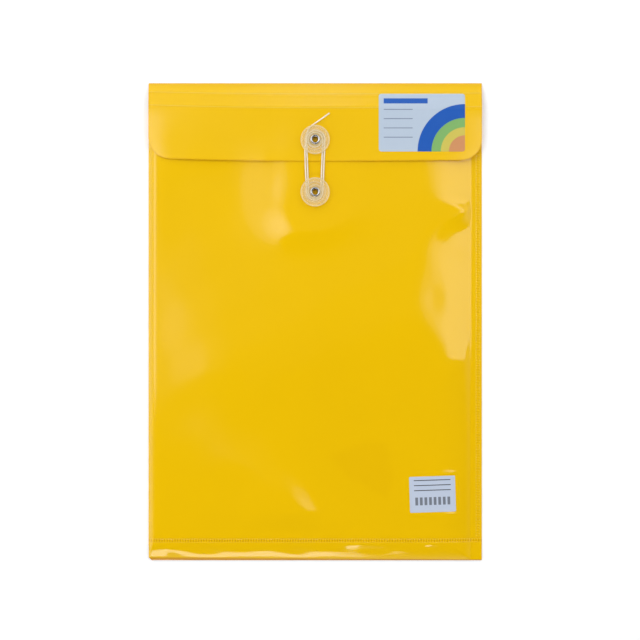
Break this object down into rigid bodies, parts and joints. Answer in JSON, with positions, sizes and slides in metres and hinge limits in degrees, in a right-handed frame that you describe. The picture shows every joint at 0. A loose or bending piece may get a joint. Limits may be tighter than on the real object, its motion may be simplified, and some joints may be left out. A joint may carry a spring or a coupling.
{
  "type": "string tie envelope",
  "caption": "Flat document envelope of translucent yellow plastic film with a fold-over flap, closed by a string wound round button discs on eyelets.",
  "frame": {"origin": "centre of the outline, on the underside of the back panel", "axes": "+X to the right and +Y towards the flap's fold when looking at the front, +Z out of the front"},
  "size_m": [0.255, 0.365, 0.0095],
  "materials": {
    "film": "translucent satin polypropylene film",
    "button": "milky moulded plastic",
    "eyelet": "nickel plated",
    "string": "whitish plastic cord",
    "header_label": "coated sticker",
    "pocket_label": "plain sticker"
  },
  "bodies": {
    "pocket": {"back_panel": "film", "front_panel": "film", "side_fold": "film", "foot_turn_up": "film", "pocket_eyelet": "eyelet", "pocket_label": "pocket_label"},
    "flap": {"flap_top_strip": "film", "flap_mid_strip": "film", "flap_panel": "film", "flap_eyelet": "eyelet", "header_label": "header_label", "string_winding": "string", "string_tail": "string"},
    "flap_disc": {"flap_button": "button"},
    "pocket_disc": {"pocket_button": "button"}
  },
  "joints": [
    {"name": "flap_fold", "type": "hinge", "parent": "pocket", "child": "flap", "pos_m": [0, 0.18225, 0.00038], "axis": [-1, 0, 0], "range_deg": [0, 155], "deforming": ["string_winding", "string_tail"]},
    {"name": "flap_button_spin", "type": "hinge", "parent": "flap", "child": "flap_disc", "pos_m": [0, 0.139, 0.008], "axis": [0, 0, 1], "continuous": true},
    {"name": "pocket_button_spin", "type": "hinge", "parent": "pocket", "child": "pocket_disc", "pos_m": [0, 0.099, 0.0075], "axis": [0, 0, 1], "continuous": true}
  ]
}
